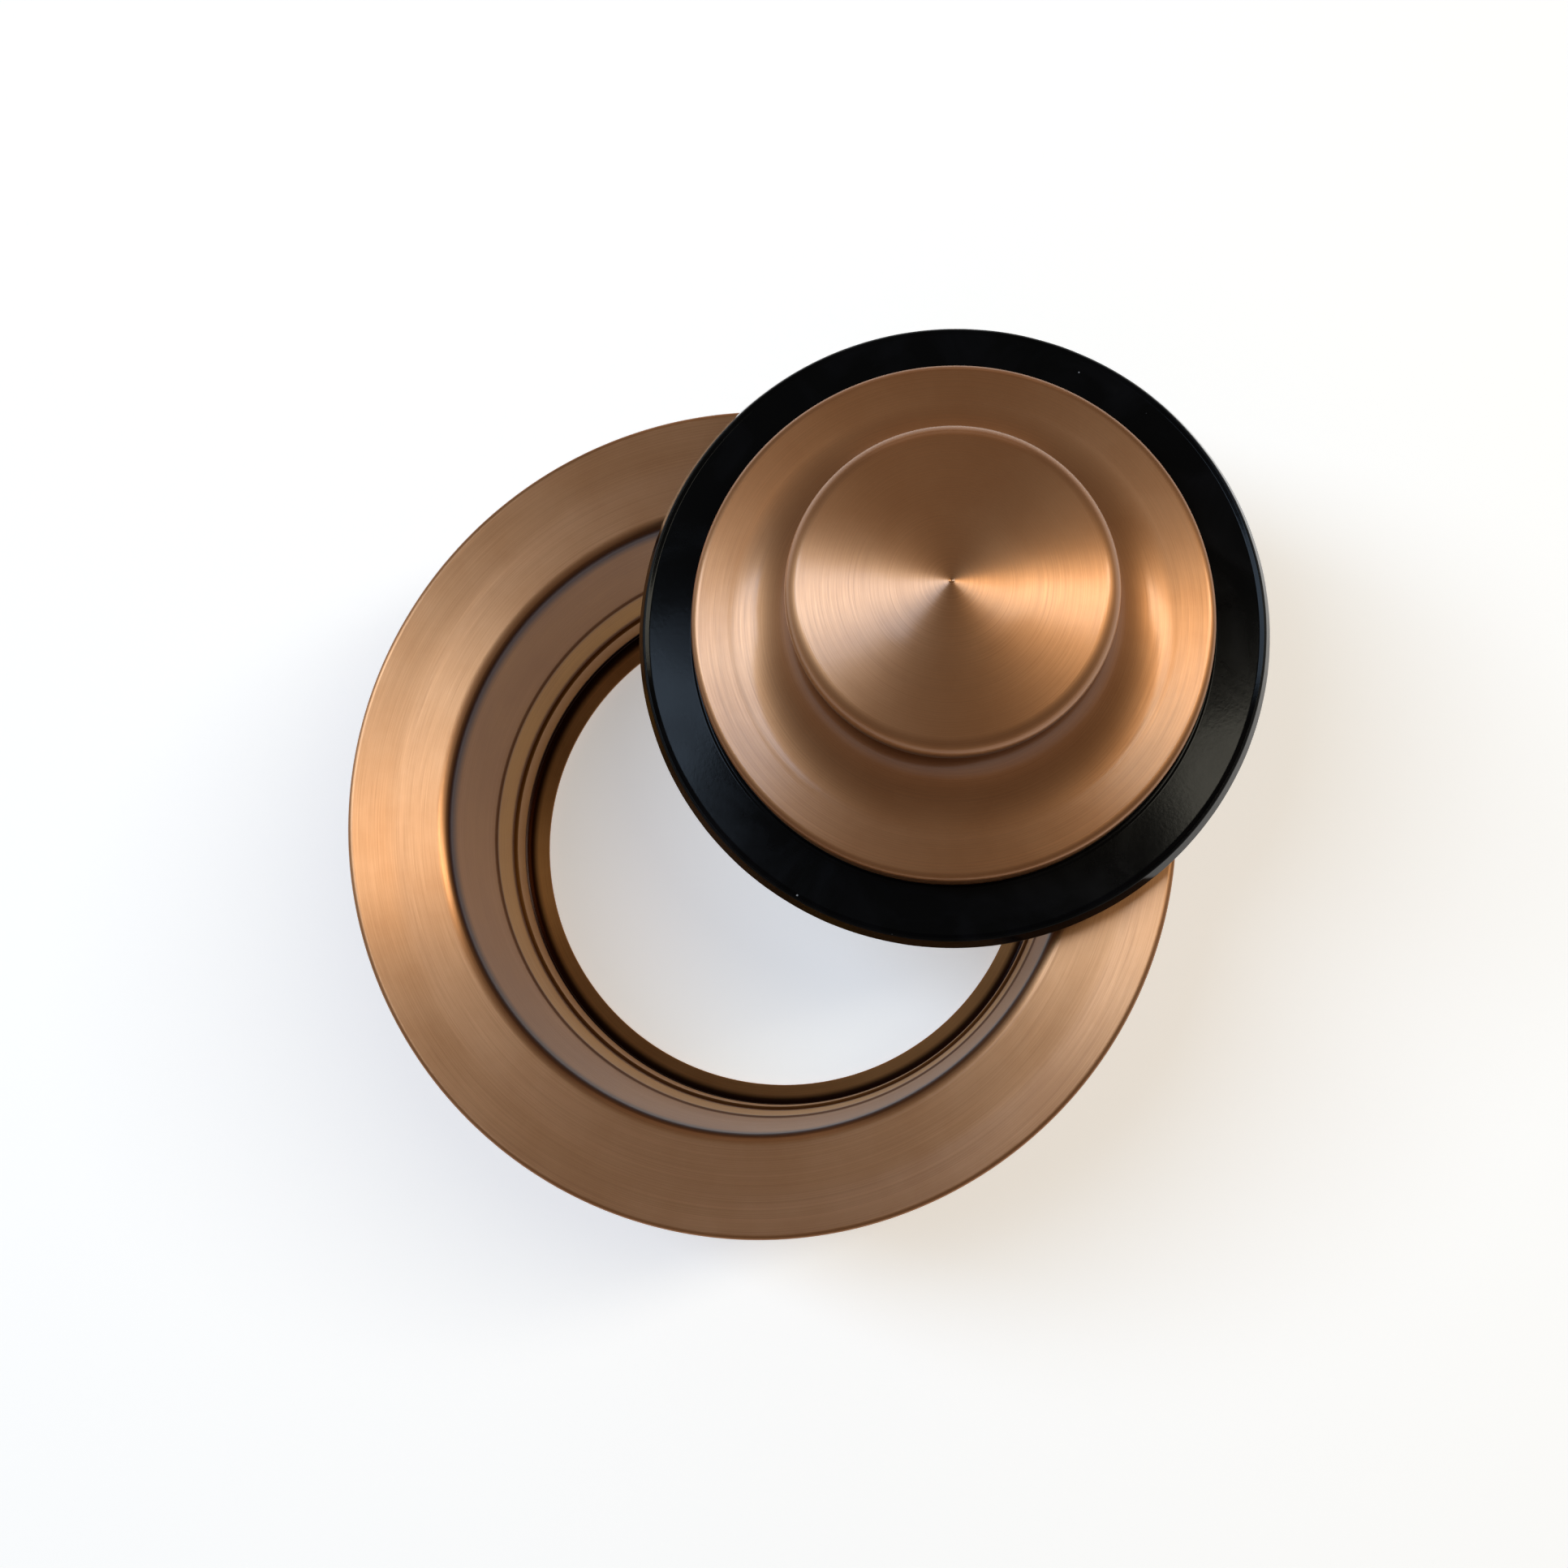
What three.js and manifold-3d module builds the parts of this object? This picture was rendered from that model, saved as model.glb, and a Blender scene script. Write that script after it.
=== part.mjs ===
// Sink flange and stopper of a kitchen garbage disposal, in antique brushed copper.
// Millimetres, +Z up. The flange stands on the bottom ring of its neck, and the stopper
// lies on the brim beside the throat, ready to be slid over it.
import * as THREE from 'three';
import * as BufferGeometryUtils from 'three/addons/utils/BufferGeometryUtils.js';
import Module from 'manifold-3d';

const wasm = await Module();
wasm.setup();

// ---- driving dimensions: flange ----
const BRIM_DIAMETER = 114.3; // 4 1/2 in, the usual disposal flange
const FLANGE_HEIGHT = 50.8; // 2 in, from the foot of the neck to the top of the brim
const BRIM_EDGE = 1.6; // thickness at the rim, rounded over half of it
const BRIM_DROP = 1.6; // the brim dishes down by this much towards the throat
const THROAT_ROLL = 1.8; // radius from the brim into the neck
const NECK_OUTER_RADIUS = 44.3; // passes the 3 1/2 in hole of a sink
const NECK_TOP_RADIUS = 43.2; // inside, just under the throat roll
const SEAT_TOP_RADIUS = 42.2; // inside, where the seat cone starts
const SEAT_LOW_RADIUS = 41.5; // inside, where the seat cone ends
const LAND_RADIUS = 41.1; // inside, the straight band below the seat
const OUTLET_RADIUS = 38.2; // the lip at the bottom of the neck
const FOOT_RADIUS = 43.5; // outer edge of the flat bottom ring
const RING_LAND_WIDTH = 2.8; // flat ring under the rim that rests on the sink

// ---- driving dimensions: stopper, heights counted from the seal's underside ----
const SEAL_RADIUS = 42.64;
const SEAL_THICKNESS = 4;
const SEAL_BEVEL = 1.2; // height of the lower bevel that finds the throat
const RECESS_RADIUS = 34.65; // the cap sits in this recess of the seal
const RECESS_FLOOR = 2.6;
const CAP_RADIUS = 34.29;
const CAP_EDGE = 1.2; // rounding of the cap's rim
const CAP_RIM_TOP = 11.8;
const COVE_RADIUS = 29.3; // where the rim's nearly flat land runs into the cove
const COVE_FOOT = 12.1;
const NECK_RADIUS = 18.2; // waist under the knob
const NECK_TOP = 24.6;
const KNOB_RADIUS = 20.42;
const KNOB_EDGE = 28.6;
const KNOB_TIP = 35.5;
const STUD_RADIUS = 3.15; // 1/4 in stud
const STUD_TOP = 15.5;
const STUD_END = -10.3;
const BACKING_RADIUS = 20;
const BACKING_THICKNESS = 1.2;
const LOCK_RADIUS = 5.4;
const LOCK_THICKNESS = 1;
const NUT_ACROSS_FLATS = 11.1; // 7/16 in hexagon
const NUT_THICKNESS = 5;

// ---- driving dimensions: layout ----
const GAP = 0.3; // kept between pieces that touch
const STOPPER_X = 26.92; // from the neck's axis to the stopper's axis
const STOPPER_Y = 24.39;
const STOPPER_REST = 53; // height of the seal's underside over the foot

const BRIM_RADIUS = BRIM_DIAMETER / 2;
const BORE_RADIUS = STUD_RADIUS + GAP;

// The origin is at the middle of the whole set's box, on the surface it stands on.
const FLANGE_X = -(STOPPER_X + SEAL_RADIUS - BRIM_RADIUS) / 2;
const FLANGE_Y = -(STOPPER_Y + SEAL_RADIUS - BRIM_RADIUS) / 2;

// ---- geometry helpers ----

// Points [radius, height] along an arc; angles in degrees, 0 pointing away from the axis.
function arc(radius, height, size, from, to, steps) {
  const points = [];
  for (let i = 0; i <= steps; i += 1) {
    const angle = THREE.MathUtils.degToRad(from + ((to - from) * i) / steps);
    points.push([radius + size * Math.cos(angle), height + size * Math.sin(angle)]);
  }
  return points;
}

// A turned body. The outline runs clockwise, seen with the axis at the left and +Z up;
// the lathe takes it the other way round.
function turned(outline, segments) {
  const points = outline.map(([radius, height]) => new THREE.Vector2(radius, height)).reverse();
  const geometry = new THREE.LatheGeometry(points, segments);
  geometry.rotateX(Math.PI / 2);
  return geometry;
}

function closed(outline) {
  return [...outline, outline[0]];
}

// A flat ring with lightly chamfered edges, between two heights.
function ring(inner, outer, low, high, chamfer, segments) {
  return turned(
    closed([
      [inner, low],
      [inner, high],
      [outer - chamfer, high],
      [outer, high - chamfer],
      [outer, low + chamfer],
      [outer - chamfer, low],
    ]),
    segments,
  );
}

function toManifold(geometry) {
  const bare = geometry.clone();
  bare.deleteAttribute('normal');
  bare.deleteAttribute('uv');
  const merged = BufferGeometryUtils.mergeVertices(bare, 1e-4);
  const mesh = new wasm.Mesh({
    numProp: 3,
    vertProperties: new Float32Array(merged.attributes.position.array),
    triVerts: new Uint32Array(merged.index.array),
  });
  return new wasm.Manifold(mesh);
}

function fromManifold(solid) {
  const mesh = solid.getMesh();
  const geometry = new THREE.BufferGeometry();
  geometry.setAttribute('position', new THREE.BufferAttribute(mesh.vertProperties, 3));
  geometry.setIndex(new THREE.BufferAttribute(mesh.triVerts, 1));
  geometry.computeVertexNormals();
  return geometry;
}

// ---- materials ----
const copper = { color: 0xb07a4c, roughness: 0.38, metalness: 1 };
const rubber = { color: 0x101114, roughness: 0.6, metalness: 0 };
const steel = { color: 0xb9b9b4, roughness: 0.35, metalness: 1 };

function piece(name, geometry, finish) {
  const mesh = new THREE.Mesh(geometry, new THREE.MeshStandardMaterial(finish));
  mesh.name = name;
  return mesh;
}

// ---- pieces ----

// One turned shell: dished brim, throat roll, tapering neck with its seat, two cut
// lines and an inturned outlet lip, and a snap-ring groove outside near the foot.
function sinkFlange() {
  const edge = BRIM_EDGE / 2;
  const rimHeight = FLANGE_HEIGHT - edge;
  const rollHeight = FLANGE_HEIGHT - BRIM_DROP - THROAT_ROLL;
  const rollRadius = NECK_TOP_RADIUS + THROAT_ROLL;
  const underRim = FLANGE_HEIGHT - BRIM_EDGE;
  const landInner = BRIM_RADIUS - edge - RING_LAND_WIDTH;
  const brimMiddle = (rollRadius + BRIM_RADIUS - edge) / 2;
  const inside = [
    [OUTLET_RADIUS + 0.8, 0],
    [OUTLET_RADIUS, 0.7],
    [OUTLET_RADIUS, 1.3],
    [LAND_RADIUS - 0.2, 3.6],
    [LAND_RADIUS + 0.25, 4.1],
    [LAND_RADIUS - 0.1, 4.6],
    [LAND_RADIUS - 0.1, 5.1],
    [LAND_RADIUS + 0.25, 5.5],
    [LAND_RADIUS, 6],
    [LAND_RADIUS, 12.2],
    [SEAT_LOW_RADIUS, 12.8],
    [SEAT_TOP_RADIUS, 23],
  ];
  const brimTop = [
    ...arc(rollRadius, rollHeight, THROAT_ROLL, 180, 98, 5),
    [brimMiddle, FLANGE_HEIGHT - 0.6 * BRIM_DROP],
  ];
  const rim = arc(BRIM_RADIUS - edge, rimHeight, edge, 84, -90, 5);
  const outside = [
    [landInner, underRim],
    [NECK_OUTER_RADIUS + 2.2, underRim - BRIM_DROP],
    [NECK_OUTER_RADIUS, underRim - BRIM_DROP - 1.6],
    [NECK_OUTER_RADIUS, 8],
    [NECK_OUTER_RADIUS - 1.1, 8],
    [NECK_OUTER_RADIUS - 1.1, 5.8],
    [NECK_OUTER_RADIUS, 5.8],
    [NECK_OUTER_RADIUS, 1],
    [FOOT_RADIUS, 0],
  ];
  return piece('sink_flange', turned(closed([...inside, ...brimTop, ...rim, ...outside]), 72), copper);
}

// One turned piece: flat-sided rim, wide concave cove, waist and mushroom knob with a
// very low cone on top. The underside is relieved around a boss with a blind bore.
function stopperCap() {
  const bottom = RECESS_FLOOR + GAP;
  const cove = [];
  const steps = 9;
  for (let i = 0; i <= steps; i += 1) {
    const angle = ((Math.PI / 2) * i) / steps;
    cove.push([
      COVE_RADIUS - (COVE_RADIUS - NECK_RADIUS) * Math.sin(angle),
      NECK_TOP - (NECK_TOP - COVE_FOOT) * Math.cos(angle),
    ]);
  }
  const outline = [
    [0, STUD_TOP + 1.5],
    [BORE_RADIUS, STUD_TOP],
    [BORE_RADIUS, bottom],
    [9, bottom],
    [10, 9],
    [17, 12],
    [25, 9],
    [29, 6.4],
    [29.5, bottom],
    [CAP_RADIUS - 0.4, bottom],
    [CAP_RADIUS, bottom + 0.4],
    ...arc(CAP_RADIUS - CAP_EDGE, CAP_RIM_TOP - CAP_EDGE, CAP_EDGE, 0, 90, 4),
    ...cove,
    [KNOB_RADIUS - 0.9, KNOB_EDGE - 1.5],
    [KNOB_RADIUS, KNOB_EDGE - 0.5],
    [KNOB_RADIUS, KNOB_EDGE],
    ...arc(KNOB_RADIUS - 3.6, KNOB_EDGE + 0.2, 3.6, 12, 78, 6),
    [0, KNOB_TIP],
  ];
  return piece('stopper_cap', turned(outline.reverse(), 60), copper);
}

// The rubber disc: bevelled lower edge, flat top face and the recess that holds the cap.
function stopperSeal() {
  const outline = closed([
    [BORE_RADIUS, 0],
    [BORE_RADIUS, RECESS_FLOOR],
    [RECESS_RADIUS, RECESS_FLOOR],
    [RECESS_RADIUS, SEAL_THICKNESS - 0.3],
    [RECESS_RADIUS + 0.3, SEAL_THICKNESS],
    [SEAL_RADIUS - 1.5, SEAL_THICKNESS],
    [SEAL_RADIUS - 1.1, SEAL_THICKNESS - 0.3],
    [SEAL_RADIUS, SEAL_BEVEL + 0.3],
    [SEAL_RADIUS, SEAL_BEVEL],
    [SEAL_RADIUS - 0.9, 0],
  ]);
  return piece('stopper_seal', turned(outline, 72), rubber);
}

function centreStud() {
  const outline = [
    [0, STUD_TOP],
    [STUD_RADIUS - 0.6, STUD_TOP - GAP],
    [STUD_RADIUS, STUD_TOP - GAP - 0.6],
    [STUD_RADIUS, STUD_END + 0.8],
    [STUD_RADIUS - 0.7, STUD_END],
    [0, STUD_END],
  ];
  return piece('centre_stud', turned(outline, 24), steel);
}

function backingWasher() {
  const high = -GAP;
  const low = high - BACKING_THICKNESS;
  return piece('backing_washer', ring(BORE_RADIUS, BACKING_RADIUS, low, high, 0.25, 48), steel);
}

// Split spring washer: a ring with one slanted cut through its side.
function lockWasher() {
  const high = -2 * GAP - BACKING_THICKNESS;
  const low = high - LOCK_THICKNESS;
  const slit = new THREE.BoxGeometry(LOCK_RADIUS, 0.7, 3 * LOCK_THICKNESS);
  slit.rotateX(THREE.MathUtils.degToRad(30));
  slit.translate(LOCK_RADIUS / 2 + 1, 0, (low + high) / 2);
  const whole = toManifold(ring(BORE_RADIUS, LOCK_RADIUS, low, high, 0.1, 32));
  return piece('lock_washer', fromManifold(whole.subtract(toManifold(slit))), steel);
}

// Hexagon nut: a hexagonal bar trimmed by a doubly chamfered turned body, then bored.
function hexNut() {
  const high = -3 * GAP - BACKING_THICKNESS - LOCK_THICKNESS;
  const low = high - NUT_THICKNESS;
  const corner = NUT_ACROSS_FLATS / 2 / Math.cos(Math.PI / 6);
  const hexagon = new THREE.CylinderGeometry(corner, corner, NUT_THICKNESS, 6);
  hexagon.rotateX(Math.PI / 2);
  hexagon.translate(0, 0, (low + high) / 2);
  const trim = ring(BORE_RADIUS, corner, low, high, 0.8, 48);
  return piece('hex_nut', fromManifold(toManifold(hexagon).intersect(toManifold(trim))), steel);
}

// ---- assembly ----
const stopper = new THREE.Group();
stopper.add(stopperCap(), stopperSeal(), centreStud(), backingWasher(), lockWasher(), hexNut());
stopper.position.set(FLANGE_X + STOPPER_X, FLANGE_Y + STOPPER_Y, STOPPER_REST);

const flange = sinkFlange();
flange.position.set(FLANGE_X, FLANGE_Y, 0);

const set = new THREE.Group();
set.add(flange, stopper);

export default set;
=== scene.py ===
# %% [markdown]
# A kitchen sink's disposal flange and its stopper, in antique brushed copper.
# The flange is a turned brass collar with a dished brim and a deep neck. The stopper is a
# turned knob clamped on a black rubber disc, and it lies over the edge of the throat.
# The CAD model is loaded first: it fixes every size and place, and this lesson makes the
# fine surfaces and finishes around it.

# %% Load the frame
import math

import bpy
import bmesh
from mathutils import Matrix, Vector


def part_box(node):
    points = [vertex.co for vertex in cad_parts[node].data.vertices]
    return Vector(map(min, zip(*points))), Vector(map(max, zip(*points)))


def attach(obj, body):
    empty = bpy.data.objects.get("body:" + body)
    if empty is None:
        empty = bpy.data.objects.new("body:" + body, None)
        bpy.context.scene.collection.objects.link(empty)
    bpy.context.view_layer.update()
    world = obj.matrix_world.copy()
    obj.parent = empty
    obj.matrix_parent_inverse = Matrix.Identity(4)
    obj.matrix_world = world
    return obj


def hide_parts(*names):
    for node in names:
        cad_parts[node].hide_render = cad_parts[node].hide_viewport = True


MM = 0.001

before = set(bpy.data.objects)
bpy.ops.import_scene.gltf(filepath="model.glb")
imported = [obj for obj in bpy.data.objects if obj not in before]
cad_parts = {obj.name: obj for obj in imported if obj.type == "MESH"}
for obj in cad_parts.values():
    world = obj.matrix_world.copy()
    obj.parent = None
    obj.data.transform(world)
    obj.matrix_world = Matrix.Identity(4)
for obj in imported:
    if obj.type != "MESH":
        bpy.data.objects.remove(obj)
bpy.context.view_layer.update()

# %% [markdown]
# Every place comes from the CAD nodes' boxes. A turned piece needs only the axis that it
# was turned about and the height that its profile is counted from.

# %% Axes and heights
def middle(node):
    low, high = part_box(node)
    return Vector(((low.x + high.x) / 2, (low.y + high.y) / 2, 0))


flange_axis = middle("sink_flange")
stopper_axis = middle("stopper_seal")
foot_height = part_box("sink_flange")[0].z
seal_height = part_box("stopper_seal")[0].z
brim_radius = (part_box("sink_flange")[1].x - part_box("sink_flange")[0].x) / 2 / MM
brim_height = (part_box("sink_flange")[1].z - foot_height) / MM
print("brim radius", round(brim_radius, 2), "mm, brim height", round(brim_height, 2), "mm")

# %% [markdown]
# A lathe profile is a list of corners, each as radius, height and corner rounding in
# millimetres. Real turned edges are never perfectly sharp, and a small rounding is what
# catches the light, so each corner is replaced by a short arc. Long straight runs are cut
# into short steps, with one step close to each arc, which keeps the shading of the flats
# true. Drawing every point by hand would give the same shape with far more numbers.

# %% Round the corners of a profile
ARC_STEP = math.radians(7)
ARC_CHORD = 0.6  # mm, the longest chord of a wide arc
LONGEST_STEP = 1.6  # mm, on straight runs
SUPPORT = 0.12  # mm, from an arc's end to the first step on the straight


def corner_arc(before, corner, after, size):
    to_before = (before - corner).normalized()
    to_after = (after - corner).normalized()
    opening = to_before.angle(to_after)
    if size <= 0 or opening > math.pi - 0.02:
        return [corner]
    reach = size / math.tan(opening / 2)
    room = 0.49 * min((before - corner).length, (after - corner).length)
    if reach > room:
        size *= room / reach
        reach = room
    centre = corner + (to_before + to_after).normalized() * (size / math.sin(opening / 2))
    start = corner + to_before * reach - centre
    end = corner + to_after * reach - centre
    turn = start.angle(end)
    steps = max(2, math.ceil(turn / ARC_STEP), math.ceil(size * turn / ARC_CHORD))
    share = [(math.sin((1 - i / steps) * turn), math.sin(i / steps * turn)) for i in range(steps + 1)]
    return [centre + (start * a + end * b) / math.sin(turn) for a, b in share]


def straight_steps(start, end):
    length = (end - start).length
    if length < 4 * SUPPORT:
        return []
    count = max(1, math.ceil((length - 2 * SUPPORT) / LONGEST_STEP))
    span = length - 2 * SUPPORT
    direction = (end - start) / length
    return [start + direction * (SUPPORT + span * i / count) for i in range(count + 1)]


def rounded(corners, closed):
    points = [Vector((radius, height)) for radius, height, size in corners]
    runs = []
    count = len(points)
    for i, (_, _, size) in enumerate(corners):
        ends = not closed and i in (0, count - 1)
        if ends:
            runs.append([points[i]])
        else:
            runs.append(corner_arc(points[i - 1], points[i], points[(i + 1) % count], size))
    profile = []
    for i, run in enumerate(runs):
        profile += run
        if i + 1 < count or closed:
            profile += straight_steps(run[-1], runs[(i + 1) % count][0])
    if closed:
        profile.append(profile[0])
    return profile


# %% [markdown]
# One small function adds a shader or geometry node, sets it up and links it. An input is
# given by its name or number, as a plain value or as another node's output.

# %% Add a node
def add(tree, kind, inputs=None, **settings):
    node = tree.nodes.new(kind)
    for name, value in settings.items():
        setattr(node, name, value)
    for name, value in (inputs or {}).items():
        if isinstance(value, bpy.types.NodeSocket):
            tree.links.new(value, node.inputs[name])
        else:
            node.inputs[name].default_value = value
    return node


def linear(hex_colour):
    def one(part):
        value = int(part, 16) / 255
        return value / 12.92 if value <= 0.04045 else ((value + 0.055) / 1.055) ** 2.4

    return (one(hex_colour[0:2]), one(hex_colour[2:4]), one(hex_colour[4:6]), 1.0)


# %% [markdown]
# A lathe spins the blank against a tool, so the surface follows one rule: the profile,
# carried round the axis. Geometry Nodes can say that rule directly. The tree lays out a
# grid with one row for each profile point and one column for each step round the axis,
# and rolls it up. The Screw modifier does nearly the same, but it gives no UV map that
# runs round the axis, and the brushed finish needs one.

# %% The lathe, as a node tree
def lathe_tree():
    tree = bpy.data.node_groups.new("turned_on_lathe", "GeometryNodeTree")
    face = tree.interface
    face.new_socket("Profile", in_out="INPUT", socket_type="NodeSocketGeometry")
    face.new_socket("Steps round", in_out="INPUT", socket_type="NodeSocketInt")
    face.new_socket("Axis", in_out="INPUT", socket_type="NodeSocketVector")
    face.new_socket("Edge wander", in_out="INPUT", socket_type="NodeSocketFloat")
    face.new_socket("Finish", in_out="INPUT", socket_type="NodeSocketMaterial")
    face.new_socket("Turned", in_out="OUTPUT", socket_type="NodeSocketGeometry")
    given = add(tree, "NodeGroupInput").outputs
    size = add(
        tree, "GeometryNodeAttributeDomainSize", {"Geometry": given["Profile"]}, component="MESH"
    )
    points = size.outputs["Point Count"]
    columns = add(tree, "ShaderNodeMath", {0: given["Steps round"], 1: 1.0}, operation="ADD")
    grid = add(
        tree,
        "GeometryNodeMeshGrid",
        {"Size X": 1.0, "Size Y": 1.0, "Vertices X": columns.outputs[0], "Vertices Y": points},
    )
    place = add(tree, "ShaderNodeSeparateXYZ", {0: add(tree, "GeometryNodeInputPosition").outputs[0]})
    round_share = add(tree, "ShaderNodeMath", {0: place.outputs["X"], 1: 0.5}, operation="ADD")
    row_share = add(tree, "ShaderNodeMath", {0: place.outputs["Y"], 1: 0.5}, operation="ADD")
    last = add(tree, "ShaderNodeMath", {0: points, 1: 1.0}, operation="SUBTRACT")
    row = add(
        tree, "ShaderNodeMath", {0: row_share.outputs[0], 1: last.outputs[0]}, operation="MULTIPLY"
    )
    whole_row = add(tree, "ShaderNodeMath", {0: row.outputs[0]}, operation="ROUND")
    sample = add(
        tree,
        "GeometryNodeSampleIndex",
        {
            "Geometry": given["Profile"],
            "Value": add(tree, "GeometryNodeInputPosition").outputs[0],
            "Index": whole_row.outputs[0],
        },
        data_type="FLOAT_VECTOR",
        domain="POINT",
    )
    profile = add(tree, "ShaderNodeSeparateXYZ", {0: sample.outputs[0]})
    angle = add(
        tree, "ShaderNodeMath", {0: round_share.outputs[0], 1: 2 * math.pi}, operation="MULTIPLY"
    )
    cosine = add(tree, "ShaderNodeMath", {0: angle.outputs[0]}, operation="COSINE")
    sine = add(tree, "ShaderNodeMath", {0: angle.outputs[0]}, operation="SINE")
    wander_at = add(
        tree,
        "ShaderNodeCombineXYZ",
        {0: cosine.outputs[0], 1: sine.outputs[0], 2: profile.outputs["Z"]},
    )
    wander_noise = add(
        tree, "ShaderNodeTexNoise", {"Vector": wander_at.outputs[0], "Scale": 9.0, "Detail": 4.0}
    )
    wander = add(
        tree,
        "ShaderNodeMath",
        {0: wander_noise.outputs[0], 1: 0.5},
        operation="SUBTRACT",
    )
    swing = add(
        tree,
        "ShaderNodeMath",
        {0: wander.outputs[0], 1: given["Edge wander"]},
        operation="MULTIPLY",
    )
    radius_scale = add(tree, "ShaderNodeMath", {0: swing.outputs[0], 1: 1.0}, operation="ADD")
    radius = add(
        tree,
        "ShaderNodeMath",
        {0: profile.outputs["X"], 1: radius_scale.outputs[0]},
        operation="MULTIPLY",
    )
    across = add(tree, "ShaderNodeMath", {0: radius.outputs[0], 1: cosine.outputs[0]}, operation="MULTIPLY")
    along = add(tree, "ShaderNodeMath", {0: radius.outputs[0], 1: sine.outputs[0]}, operation="MULTIPLY")
    rolled = add(
        tree,
        "ShaderNodeCombineXYZ",
        {0: across.outputs[0], 1: along.outputs[0], 2: profile.outputs["Z"]},
    )
    placed = add(
        tree, "ShaderNodeVectorMath", {0: rolled.outputs[0], 1: given["Axis"]}, operation="ADD"
    )
    mapped = add(
        tree,
        "GeometryNodeStoreNamedAttribute",
        {"Geometry": grid.outputs["Mesh"], "Name": "UVMap", "Value": grid.outputs["UV Map"]},
        data_type="FLOAT2",
        domain="CORNER",
    )
    shaped = add(
        tree,
        "GeometryNodeSetPosition",
        {"Geometry": mapped.outputs[0], "Position": placed.outputs[0]},
    )
    joined = add(
        tree, "GeometryNodeMergeByDistance", {"Geometry": shaped.outputs[0], "Distance": 1e-6}
    )
    smooth = add(tree, "GeometryNodeSetShadeSmooth", {"Geometry": joined.outputs[0]})
    real = add(tree, "GeometryNodeRealizeInstances", {"Geometry": smooth.outputs[0]})
    finished = add(
        tree,
        "GeometryNodeSetMaterial",
        {"Geometry": real.outputs[0], "Material": given["Finish"]},
    )
    add(tree, "NodeGroupOutput", {"Turned": finished.outputs[0]})
    return tree


lathe = lathe_tree()

# %% [markdown]
# A modifier's inputs are set by the sockets' identifiers. When every input is in place the
# evaluated shape is copied into a plain mesh, and the modifier goes. The signed volume
# tells whether the faces point outwards: a profile drawn the other way round gives a
# negative one, and its faces are then flipped.

# %% Run node trees on an object and keep the plain mesh
def set_inputs(modifier, values):
    for item in modifier.node_group.interface.items_tree:
        if item.in_out == "INPUT" and item.name in values:
            modifier[item.identifier] = values[item.name]


def settled(piece, steps):
    for tree, values in steps:
        modifier = piece.modifiers.new(tree.name, "NODES")
        modifier.node_group = tree
        set_inputs(modifier, values)
    bpy.context.view_layer.update()
    evaluated = piece.evaluated_get(bpy.context.evaluated_depsgraph_get())
    mesh = bpy.data.meshes.new_from_object(evaluated)
    piece.modifiers.clear()
    piece.data = mesh
    mesh.name = piece.name
    solid = bmesh.new()
    solid.from_mesh(mesh)
    if solid.calc_volume(signed=True) < 0:
        bmesh.ops.reverse_faces(solid, faces=solid.faces)
        solid.to_mesh(mesh)
    open_edges = sum(1 for edge in solid.edges if not edge.is_manifold)
    print(piece.name, len(mesh.polygons), "faces,", open_edges, "open edges")
    solid.free()
    return piece


def turned(name, corners, closed, axis, height, steps_round, finish, more=(), wander=0.0):
    profile = rounded(corners, closed)
    mesh = bpy.data.meshes.new(name)
    points = [(p.x * MM, 0, p.y * MM + height) for p in profile]
    edges = [(i, i + 1) for i in range(len(points) - 1)]
    mesh.from_pydata(points, edges, [])
    piece = bpy.data.objects.new(name, mesh)
    bpy.context.scene.collection.objects.link(piece)
    values = {"Steps round": steps_round, "Axis": axis, "Edge wander": wander, "Finish": finish}
    return settled(piece, [(lathe, values), *more])


# %% [markdown]
# Antique copper is brass, turned and brushed round the axis, then plated with copper,
# darkened, and relieved so that the high lines are bright again. The brushing is what the
# eye sees first: thousands of fine grooves that all run round the axis spread every light
# into a band across them. On a flat disc that gives the bright and dark fans. The
# Principled shader has this as Anisotropic, and the Tangent from the piece's UV map says
# which way the grooves run. Bump alone would need grooves far finer than a render can
# hold. The grooves seen close up are drawn 0.12 mm apart, coarser than the real ones, so
# that they show. Clear lacquer over the plating is the shader's coat. It is stronger on
# the stopper, whose highlights are the creamier ones.
# The tone isn't even. A yellow brass band runs round the neck, and the neck is darker at its
# cut lines. Painted shade darkens the hollow under the knob and the knob's lower edge, where
# its shadow and dark reflections fall. It also darkens a narrow band just under the throat
# roll, for the dark reflection where the roll turns down. Tones by height above the piece's
# base, inside a given radius, put each of these in its place.

# %% Antique brushed copper
GROOVE = 0.12 * MM  # from one drawn groove to the next
GROOVE_DRIFT = 12 * MM  # over which the grooves fade into others along a ring
GROOVE_DEPTH = 0.02 * MM
PATINA = 14 * MM  # size of the patches of paler copper


def height_tones_and_shade(tree, height, base, tones_and_shade):
    """Multiply tones by height, the piece's own and painted shade: tones_and_shade are (height in mm from
    the base, sRGB hex) in order.
    """
    low, high = tones_and_shade[0][0], tones_and_shade[-1][0]
    share = add(
        tree,
        "ShaderNodeMapRange",
        {"Value": height, "From Min": base + low * MM, "From Max": base + high * MM},
    ).outputs[0]
    ramp = add(tree, "ShaderNodeValToRGB", {"Fac": share})
    stops = ramp.color_ramp.elements
    for i, (band_height, tone) in enumerate(tones_and_shade):
        place = (band_height - low) / (high - low)
        stop = stops[i] if i < 2 else stops.new(place)
        stop.position = place
        stop.color = linear(tone)
    return ramp.outputs["Color"]


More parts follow.
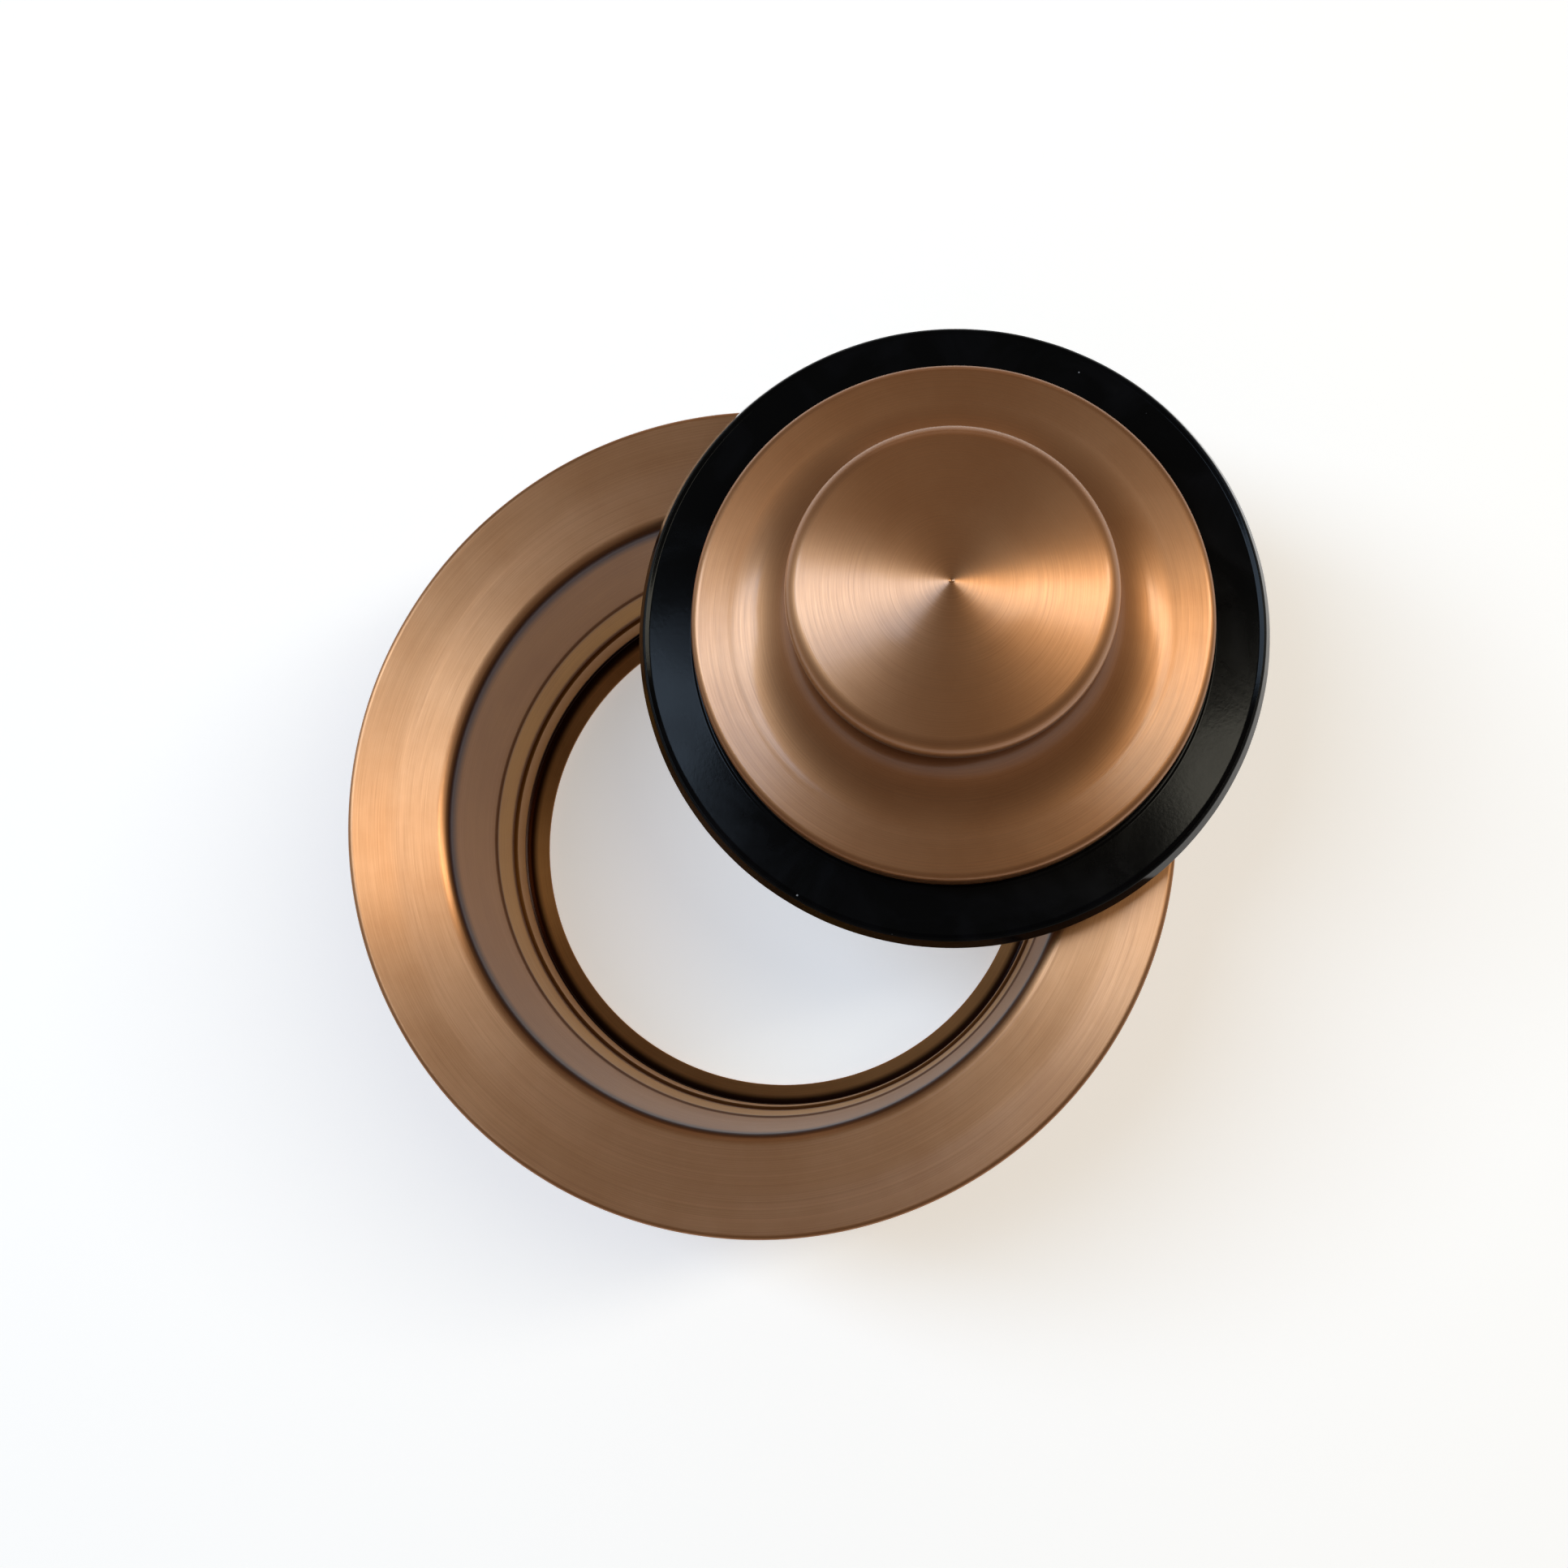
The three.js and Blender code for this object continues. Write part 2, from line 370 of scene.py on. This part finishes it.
def antique_copper(name, axis, base, tones_and_shade, tone_and_shade_radius, lacquer, coherence, satin):
    finish = bpy.data.materials.new(name)
    finish.use_nodes = True
    tree = finish.node_tree
    tree.nodes.clear()
    place = add(tree, "ShaderNodeTexCoord").outputs["Object"]
    centred = add(
        tree, "ShaderNodeVectorMath", {0: place, 1: axis}, operation="SUBTRACT"
    ).outputs[0]
    parts = add(tree, "ShaderNodeSeparateXYZ", {0: centred}).outputs
    flat = add(tree, "ShaderNodeCombineXYZ", {0: parts[0], 1: parts[1]}).outputs[0]
    radius = add(tree, "ShaderNodeVectorMath", {0: flat}, operation="LENGTH").outputs["Value"]
    rings = add(tree, "ShaderNodeCombineXYZ", {0: radius, 1: parts[2]}).outputs[0]
    fine = add(
        tree, "ShaderNodeVectorMath", {0: rings, "Scale": 1 / GROOVE}, operation="SCALE"
    ).outputs[0]
    drift = add(
        tree, "ShaderNodeVectorMath", {0: centred, "Scale": 1 / GROOVE_DRIFT}, operation="SCALE"
    ).outputs[0]
    grooves_at = add(tree, "ShaderNodeVectorMath", {0: fine, 1: drift}, operation="ADD").outputs[0]
    grooves = add(
        tree,
        "ShaderNodeTexNoise",
        {"Vector": grooves_at, "Scale": 1.0, "Detail": 3.0, "Roughness": 0.65},
    ).outputs[0]
    patina = add(
        tree,
        "ShaderNodeTexNoise",
        {"Vector": centred, "Scale": 1 / PATINA, "Detail": 5.0, "Roughness": 0.6},
    ).outputs[0]
    wear = add(
        tree,
        "ShaderNodeMapRange",
        {"Value": patina, "From Min": 0.35, "From Max": 0.7, "To Min": 0.0, "To Max": 1.0},
    ).outputs[0]
    copper = add(
        tree,
        "ShaderNodeMix",
        {"Factor": wear, "A": linear("A5734C"), "B": linear("AE7D56")},
        data_type="RGBA",
    ).outputs["Result"]
    # Inside the radius the height tones are multiplied in: the brass band and cut lines, and painted shade
    # under the throat roll and under the knob.
    inside_tone_and_shade = add(
        tree, "ShaderNodeMath", {0: radius, 1: tone_and_shade_radius}, operation="LESS_THAN"
    ).outputs[0]
    copper = add(
        tree,
        "ShaderNodeMix",
        {"Factor": inside_tone_and_shade, "A": copper, "B": height_tones_and_shade(tree, parts[2], base, tones_and_shade)},
        data_type="RGBA",
        blend_type="MULTIPLY",
    ).outputs["Result"]
    streak = add(
        tree,
        "ShaderNodeMapRange",
        {"Value": grooves, "From Min": 0.3, "From Max": 0.7, "To Min": 0.86, "To Max": 1.08},
    ).outputs[0]
    colour = add(
        tree, "ShaderNodeVectorMath", {0: copper, "Scale": streak}, operation="SCALE"
    ).outputs[0]
    roughness = add(
        tree,
        "ShaderNodeMapRange",
        {
            "Value": grooves,
            "From Min": 0.3,
            "From Max": 0.7,
            "To Min": satin + 0.03,
            "To Max": satin - 0.04,
        },
    ).outputs[0]
    bump = add(
        tree, "ShaderNodeBump", {"Strength": 0.12, "Distance": GROOVE_DEPTH, "Height": grooves}
    ).outputs[0]
    tangent = add(tree, "ShaderNodeTangent", direction_type="UV_MAP", uv_map="UVMap").outputs[0]
    shader = add(
        tree,
        "ShaderNodeBsdfPrincipled",
        {
            "Base Color": colour,
            "Metallic": 1.0,
            "Roughness": roughness,
            "Anisotropic": coherence,
            "Anisotropic Rotation": 0.25,
            "Coat Weight": lacquer,
            "Coat Roughness": 0.15,
            "Tangent": tangent,
            "Normal": bump,
        },
    )
    add(tree, "ShaderNodeOutputMaterial", {"Surface": shader.outputs[0]})
    return finish


# Neck tones by height: the yellow band is the brass's own colour and the cut lines are darker. The dark
# band from 46.9 to 48.1 mm, just under the throat roll, is painted shade for the dark reflection there.
NECK_TONE_AND_SHADE_RADIUS = 43.7  # mm, between the neck's inner and outer walls
NECK_TONES_AND_PAINTED_SHADE = [
    (2.6, "FFFFE8"), (3.2, "3E2816"), (6.2, "3E2816"), (6.8, "FFFFDC"), (12.0, "FFFFDC"),
    (12.6, "9A8048"), (13.4, "9A8048"), (14.8, "FFF678"), (21.8, "FFF678"), (22.8, "8E7446"),
    (23.8, "E6D690"), (44.0, "E6D690"), (46.9, "5E3C20"), (48.1, "5E3C20"), (48.9, "FFFFFF"),
]
# Painted shade: the cove darkens towards the waist and is darkest on the knob's underside and lower side,
# where the knob's shadow and dark reflections fall.
COVE_PAINTED_SHADE_RADIUS = 30  # mm, just outside the cove
COVE_PAINTED_SHADE = [
    (12.5, "FFFFFF"), (15.5, "F4ECE4"), (18.5, "97836F"), (23, "6B5645"),
    (27.0, "4A382A"), (29.2, "5E4A38"), (30.6, "FFFFFF"),
]
flange_copper = antique_copper(
    "antique_copper_flange",
    flange_axis,
    foot_height,
    NECK_TONES_AND_PAINTED_SHADE,
    NECK_TONE_AND_SHADE_RADIUS * MM,
    lacquer=0.12,
    coherence=0.9,
    satin=0.34,
)
stopper_copper = antique_copper(
    "antique_copper_stopper",
    stopper_axis,
    seal_height,
    COVE_PAINTED_SHADE,
    COVE_PAINTED_SHADE_RADIUS * MM,
    lacquer=0.5,
    coherence=0.76,
    satin=0.38,
)
print("finished", flange_copper.name, "and", stopper_copper.name)

# %% [markdown]
# The seal is moulded EPDM rubber. It is nearly black with a soft gloss, its face carries
# faint rub marks, and lint clings to it as tiny pale specks.

# %% Moulded black rubber
SKIN_GRAIN = 0.5 * MM
RUB_MARK = 14 * MM
LINT_SPACING = 3.2 * MM


def moulded_rubber():
    finish = bpy.data.materials.new("moulded_epdm_rubber")
    finish.use_nodes = True
    tree = finish.node_tree
    tree.nodes.clear()
    place = add(tree, "ShaderNodeTexCoord").outputs["Object"]
    skin = add(
        tree, "ShaderNodeTexNoise", {"Vector": place, "Scale": 1 / SKIN_GRAIN, "Detail": 3.0}
    ).outputs[0]
    rubbed = add(
        tree,
        "ShaderNodeTexNoise",
        {"Vector": place, "Scale": 1 / RUB_MARK, "Detail": 6.0, "Distortion": 1.5},
    ).outputs[0]
    lint_at = add(
        tree,
        "ShaderNodeTexVoronoi",
        {"Vector": place, "Scale": 1 / LINT_SPACING, "Randomness": 1.0},
    )
    lint = add(
        tree,
        "ShaderNodeMapRange",
        {
            "Value": lint_at.outputs["Distance"],
            "From Min": 0.03,
            "From Max": 0.05,
            "To Min": 1.0,
            "To Max": 0.0,
        },
    ).outputs[0]
    chosen = add(tree, "ShaderNodeSeparateColor", {0: lint_at.outputs["Color"]}).outputs[0]
    few = add(tree, "ShaderNodeMath", {0: chosen, 1: 0.7}, operation="GREATER_THAN").outputs[0]
    speck = add(tree, "ShaderNodeMath", {0: lint, 1: few}, operation="MULTIPLY").outputs[0]
    worn = add(
        tree,
        "ShaderNodeMapRange",
        {"Value": rubbed, "From Min": 0.45, "From Max": 0.75, "To Min": 0.0, "To Max": 1.0},
    ).outputs[0]
    black = add(
        tree,
        "ShaderNodeMix",
        {"Factor": worn, "A": linear("050607"), "B": linear("0D0E11")},
        data_type="RGBA",
    ).outputs["Result"]
    colour = add(
        tree,
        "ShaderNodeMix",
        {"Factor": speck, "A": black, "B": linear("8C8E92")},
        data_type="RGBA",
    ).outputs["Result"]
    roughness = add(
        tree,
        "ShaderNodeMapRange",
        {"Value": rubbed, "From Min": 0.35, "From Max": 0.7, "To Min": 0.09, "To Max": 0.15},
    ).outputs[0]
    bump = add(
        tree, "ShaderNodeBump", {"Strength": 0.05, "Distance": 0.05 * MM, "Height": skin}
    ).outputs[0]
    shader = add(
        tree,
        "ShaderNodeBsdfPrincipled",
        {
            "Base Color": colour,
            "Roughness": roughness,
            "IOR": 1.5,
            "Specular IOR Level": 0.08,
            "Normal": bump,
        },
    )
    add(tree, "ShaderNodeOutputMaterial", {"Surface": shader.outputs[0]})
    return finish


rubber = moulded_rubber()

# %% [markdown]
# The hidden fasteners are stainless steel, cold formed or cut from bar and left plain.

# %% Plain stainless steel
HANDLING_MARK = 2 * MM


def stainless_steel():
    finish = bpy.data.materials.new("plain_stainless_steel")
    finish.use_nodes = True
    tree = finish.node_tree
    tree.nodes.clear()
    place = add(tree, "ShaderNodeTexCoord").outputs["Object"]
    handling = add(
        tree, "ShaderNodeTexNoise", {"Vector": place, "Scale": 1 / HANDLING_MARK, "Detail": 6.0}
    ).outputs[0]
    colour = add(
        tree,
        "ShaderNodeMix",
        {"Factor": handling, "A": linear("B4B3AF"), "B": linear("D0CFCB")},
        data_type="RGBA",
    ).outputs["Result"]
    roughness = add(
        tree,
        "ShaderNodeMapRange",
        {"Value": handling, "From Min": 0.3, "From Max": 0.7, "To Min": 0.22, "To Max": 0.4},
    ).outputs[0]
    shader = add(
        tree,
        "ShaderNodeBsdfPrincipled",
        {"Base Color": colour, "Metallic": 1.0, "Roughness": roughness},
    )
    add(tree, "ShaderNodeOutputMaterial", {"Surface": shader.outputs[0]})
    return finish


steel = stainless_steel()

# %% [markdown]
# The flange: from the foot the profile goes over the outlet lip, up the inside past the
# two cut lines, the straight land and the seat, over the throat roll and the dished brim,
# round the rim, and down the outside past the groove for the snap ring.

# %% Turn the flange
flange_profile = [
    (43.5, 0, 0.3),
    (39.0, 0, 0.5),
    (38.2, 0.9, 0.5),
    (38.2, 1.4, 0.3),
    (40.8, 3.5, 0.15),
    (41.7, 3.9, 0.1),
    (41.7, 4.4, 0.1),
    (41.05, 4.6, 0.1),
    (41.05, 4.9, 0.1),
    (41.7, 5.1, 0.1),
    (41.7, 5.6, 0.1),
    (41.1, 6.0, 0.1),
    (41.1, 12.3, 0.12),
    (41.6, 12.8, 0.15),
    (42.0, 22.6, 0.6),
    (42.3, 23.2, 0.6),
    (43.2, brim_height - 1.75, 1.8),
    (51, brim_height - 0.95, 30),
    (brim_radius, brim_height + 0.02, 0.8),
    (brim_radius, brim_height - 1.6, 0.75),
    (53.6, brim_height - 1.6, 0.4),
    (46.5, brim_height - 3.2, 1),
    (44.3, brim_height - 4.8, 1.5),
    (44.3, 8, 0.2),
    (43.2, 8, 0.2),
    (43.2, 5.8, 0.2),
    (44.3, 5.8, 0.2),
    (44.3, 1, 0.3),
]
flange = turned("flange_collar", flange_profile, True, flange_axis, foot_height, 256, flange_copper)
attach(flange, "flange")
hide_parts("sink_flange")

# %% [markdown]
# The cap is one turned piece. Its rim has a straight side, a wide cove sweeps up to the
# waist, and the knob overhangs the waist with a crisp ring, a round shoulder and a very
# low cone. The tail centre of the lathe leaves a tiny dimple at the point of the cone.

# %% Turn the cap
COVE_STEPS = 48
rim_top = 11.8
cove_radius, cove_foot = 29.3, 12.1
waist_radius, waist_height = 18.2, 24.6
cove = []
for i in range(COVE_STEPS + 1):
    angle = math.pi / 2 * i / COVE_STEPS
    cove.append((
        cove_radius - (cove_radius - waist_radius) * math.sin(angle),
        waist_height - (waist_height - cove_foot) * math.cos(angle),
        0,
    ))
cap_profile = [
    (0, 17, 0),
    (3.45, 15.5, 0.1),
    (3.45, 2.9, 0.2),
    (9, 2.9, 0.3),
    (10, 9, 1),
    (17, 12, 2),
    (25, 9, 2),
    (29, 6.4, 1),
    (29.5, 2.9, 0.3),
    (34.29, 2.9, 0.4),
    (34.29, rim_top, 1.15),
    *cove,
    (19.5, 27.1, 0.4),
    (20.42, 27.9, 0.25),
    (20.42, 31.9, 3.3),
    (9, 34.08, 80),
    (0.35, 35.44, 0.1),
    (0, 35.25, 0),
]
cap = turned("stopper_knob_cap", cap_profile, False, stopper_axis, seal_height, 224, stopper_copper)
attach(cap, "stopper")
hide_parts("stopper_cap")

# %% [markdown]
# The seal is a moulded disc. A small lip stands round the recess that holds the cap, the
# outer edge is bevelled, and the outline wanders by a few hundredths where the flash was
# trimmed by hand.

# %% Mould the seal
seal_profile = [
    (3.45, 0, 0.1),
    (3.45, 2.6, 0.1),
    (34.55, 2.6, 0.1),
    (34.55, 4.0, 0.1),
    (34.95, 4.0, 0.12),
    (35.2, 3.8, 0.12),
    (40.9, 3.75, 0.3),
    (41.5, 4.0, 0.15),
    (41.8, 3.7, 0.2),
    (42.6, 1.4, 0.3),
    (42.6, 1.0, 0.2),
    (41.7, 0, 0.2),
]
seal = turned("rubber_seal_disc", seal_profile, True, stopper_axis, seal_height, 256, rubber, wander=0.002)
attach(seal, "stopper")
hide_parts("stopper_seal")

# %% [markdown]
# A thread is a ramp wound round a rod. The rod is turned with closely spaced rings, and a
# second tree then sinks every point by a depth that depends on its height and its angle
# together, which is what makes the ridges climb. Modelling a coil of wire and joining it
# to the rod would leave faces inside the piece.

# %% The thread, as a node tree
def thread_tree():
    tree = bpy.data.node_groups.new("cut_thread", "GeometryNodeTree")
    face = tree.interface
    face.new_socket("Rod", in_out="INPUT", socket_type="NodeSocketGeometry")
    face.new_socket("Axis", in_out="INPUT", socket_type="NodeSocketVector")
    face.new_socket("Pitch", in_out="INPUT", socket_type="NodeSocketFloat")
    face.new_socket("Depth", in_out="INPUT", socket_type="NodeSocketFloat")
    face.new_socket("Core radius", in_out="INPUT", socket_type="NodeSocketFloat")
    face.new_socket("Finish", in_out="INPUT", socket_type="NodeSocketMaterial")
    face.new_socket("Threaded", in_out="OUTPUT", socket_type="NodeSocketGeometry")
    given = add(tree, "NodeGroupInput").outputs
    here = add(tree, "GeometryNodeInputPosition").outputs[0]
    offset = add(tree, "ShaderNodeVectorMath", {0: here, 1: given["Axis"]}, operation="SUBTRACT")
    parts = add(tree, "ShaderNodeSeparateXYZ", {0: offset.outputs[0]}).outputs
    flat = add(tree, "ShaderNodeCombineXYZ", {0: parts[0], 1: parts[1]}).outputs[0]
    radius = add(tree, "ShaderNodeVectorMath", {0: flat}, operation="LENGTH").outputs["Value"]
    outward = add(tree, "ShaderNodeVectorMath", {0: flat}, operation="NORMALIZE").outputs[0]
    angle = add(tree, "ShaderNodeMath", {0: parts[1], 1: parts[0]}, operation="ARCTAN2").outputs[0]
    turn = add(tree, "ShaderNodeMath", {0: angle, 1: 2 * math.pi}, operation="DIVIDE").outputs[0]
    climb = add(tree, "ShaderNodeMath", {0: parts[2], 1: given["Pitch"]}, operation="DIVIDE").outputs[0]
    phase = add(tree, "ShaderNodeMath", {0: climb, 1: turn}, operation="SUBTRACT").outputs[0]
    ridge = add(tree, "ShaderNodeMath", {0: phase, 1: 0.5}, operation="PINGPONG").outputs[0]
    sunk = add(tree, "ShaderNodeMath", {0: ridge, 1: -2.0}, operation="MULTIPLY").outputs[0]
    push = add(tree, "ShaderNodeMath", {0: sunk, 1: given["Depth"]}, operation="MULTIPLY").outputs[0]
    outer = add(tree, "ShaderNodeMath", {0: radius, 1: given["Core radius"]}, operation="GREATER_THAN")
    depth = add(tree, "ShaderNodeMath", {0: push, 1: outer.outputs[0]}, operation="MULTIPLY").outputs[0]
    move = add(tree, "ShaderNodeVectorMath", {0: outward, "Scale": depth}, operation="SCALE").outputs[0]
    cut = add(tree, "GeometryNodeSetPosition", {"Geometry": given["Rod"], "Offset": move})
    real = add(tree, "GeometryNodeRealizeInstances", {"Geometry": cut.outputs[0]})
    finished = add(
        tree,
        "GeometryNodeSetMaterial",
        {"Geometry": real.outputs[0], "Material": given["Finish"]},
    )
    add(tree, "NodeGroupOutput", {"Threaded": finished.outputs[0]})
    return tree


# %% [markdown]
# The stud that joins the stopper is a quarter-inch one with 20 threads to the inch. Ten
# rings of points to each turn of the thread are enough for a smooth ridge.

# %% Turn and thread the stud
THREAD_PITCH = 25.4 / 20
THREAD_DEPTH = 0.55
STUD_RADIUS = 3.15
ROWS_PER_PITCH = 10
stud_low = (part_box("centre_stud")[0].z - seal_height) / MM
stud_high = (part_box("centre_stud")[1].z - seal_height) / MM
rows = int((stud_high - stud_low - 1.4) / THREAD_PITCH * ROWS_PER_PITCH)
stud_profile = [(0, stud_low, 0), (STUD_RADIUS - 0.7, stud_low, 0.1)]
for i in range(rows + 1):
    height = stud_low + 0.7 + (stud_high - stud_low - 1.4) * i / rows
    stud_profile.append((STUD_RADIUS, height, 0))
stud_profile += [(STUD_RADIUS - 0.7, stud_high, 0.1), (0, stud_high, 0)]
thread_values = {
    "Axis": stopper_axis,
    "Pitch": THREAD_PITCH * MM,
    "Depth": THREAD_DEPTH * MM,
    "Core radius": (STUD_RADIUS - 0.3) * MM,
    "Finish": steel,
}
stud = turned(
    "threaded_stud", stud_profile, False, stopper_axis, seal_height, 48, steel,
    more=[(thread_tree(), thread_values)],
)
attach(stud, "stopper")
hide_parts("centre_stud")

# %% [markdown]
# The backing washer spreads the nut's load under the rubber. It is stamped from sheet, so
# one edge is rolled over and the other is sharp. The lock washer and the nut keep their
# CAD shapes, whose flats and slit are right already, and only take the steel.

# %% Stamp the washer and finish the small parts
backing_low, backing_high = (v.z - seal_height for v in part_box("backing_washer"))
backing_profile = [
    (3.45, backing_low / MM, 0.25),
    (3.45, backing_high / MM, 0.05),
    (20, backing_high / MM, 0.05),
    (20, backing_low / MM, 0.4),
]
backing = turned("stamped_backing_washer", backing_profile, True, stopper_axis, seal_height, 128, steel)
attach(backing, "slider")
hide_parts("backing_washer")

for name in ("lock_washer", "hex_nut"):
    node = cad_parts[name]
    node.data.materials.clear()
    node.data.materials.append(steel)

# %% [markdown]
# The set stands on a plain pale sheet of matt card, big enough to reach the horizon. It
# glows faintly, though it is no lamp: painted light that keeps it white in the shade of the
# neck and lights the inside of the neck. It lies a twentieth of a millimetre below the foot,
# because two faces at the same height would flicker through each other.

# %% Floor
CARD_FIBRE = 0.8 * MM
FLOOR_HALF = 12.0  # m
FLOOR_GAP = 0.05 * MM


def glowing_pale_card():
    finish = bpy.data.materials.new("matt_white_card_painted_glow")
    finish.use_nodes = True
    tree = finish.node_tree
    tree.nodes.clear()
    place = add(tree, "ShaderNodeTexCoord").outputs["Object"]
    fibre = add(tree, "ShaderNodeTexNoise", {"Vector": place, "Scale": 1 / CARD_FIBRE}).outputs[0]
    bump = add(
        tree, "ShaderNodeBump", {"Strength": 0.05, "Distance": 0.05 * MM, "Height": fibre}
    ).outputs[0]
    shader = add(
        tree,
        "ShaderNodeBsdfPrincipled",
        {
            "Base Color": linear("F6F6F4"),
            "Roughness": 0.9,
            "Normal": bump,
            # Painted light: the card's own glow.
            "Emission Color": linear("F6F3F0"),
            "Emission Strength": 0.44,
        },
    )
    add(tree, "ShaderNodeOutputMaterial", {"Surface": shader.outputs[0]})
    return finish


floor_height = foot_height - FLOOR_GAP
floor_mesh = bpy.data.meshes.new("floor")
floor_corners = [
    (x * FLOOR_HALF, y * FLOOR_HALF, floor_height) for x, y in [(-1, -1), (1, -1), (1, 1), (-1, 1)]
]
floor_mesh.from_pydata(floor_corners, [], [(0, 1, 2, 3)])
floor_mesh.materials.append(glowing_pale_card())
floor = bpy.data.objects.new("floor", floor_mesh)
bpy.context.scene.collection.objects.link(floor)

# %% [markdown]
# Soft boxes stand at the left and the right. Brushed grooves only light up towards a
# source that lies across them, so two side lights give the fans on the knob and leave the
# front and the back in shade. Both stand wide of the place that the rubber mirrors, so
# the rubber stays black. The dim surroundings fill what the boxes don't reach.

# %% Lights
def soft_box(name, place, size, power, tint):
    data = bpy.data.lights.new(name, "AREA")
    data.shape = "RECTANGLE"
    data.size, data.size_y = size
    data.energy = power
    data.color = linear(tint)[:3]
    light = bpy.data.objects.new(name, data)
    light.location = place
    aim = Vector((0, 0, brim_height * MM)) - light.location
    light.rotation_euler = aim.to_track_quat("-Z", "Y").to_euler()
    bpy.context.scene.collection.objects.link(light)
    return light


soft_box("left_soft_box", Vector((-0.42, 0.15, 0.8)), (0.24, 0.66), 4.0, "C6E1FF")
soft_box("right_soft_box", Vector((0.44, 0.15, 0.8)), (0.12, 0.66), 2.6, "F8F2DE")
soft_box("back_soft_box", Vector((0, 1.4, 0.6)), (1.2, 0.4), 0.9, "FFE8D2")

surroundings = bpy.data.worlds.new("surroundings")
surroundings.use_nodes = True
sky = surroundings.node_tree.nodes["Background"]
sky.inputs["Color"].default_value = linear("FFE8D0")
sky.inputs["Strength"].default_value = 0.18
bpy.context.scene.world = surroundings
bpy.context.scene.view_settings.view_transform = "Standard"

# %% [markdown]
# The camera looks down into the neck from a hand's height over the set, a little to the
# right of it and towards the front, and leans back by a few degrees.

# %% Camera
LENS_ON_36_MM = 46.6
CAMERA_OFFSET = Vector((25.65, -26.57, 276.6)) * MM  # from the brim's middle
CAMERA_LEAN = (math.radians(6.39), math.radians(4.5), 0)
camera_data = bpy.data.cameras.new("camera")
camera_data.sensor_width = 36
camera_data.lens = LENS_ON_36_MM
camera_data.clip_start = 0.01
camera = bpy.data.objects.new("camera", camera_data)
camera.location = flange_axis + Vector((0, 0, foot_height + (brim_height - 0.8) * MM)) + CAMERA_OFFSET
camera.rotation_euler = CAMERA_LEAN
bpy.context.scene.collection.objects.link(camera)
bpy.context.scene.camera = camera
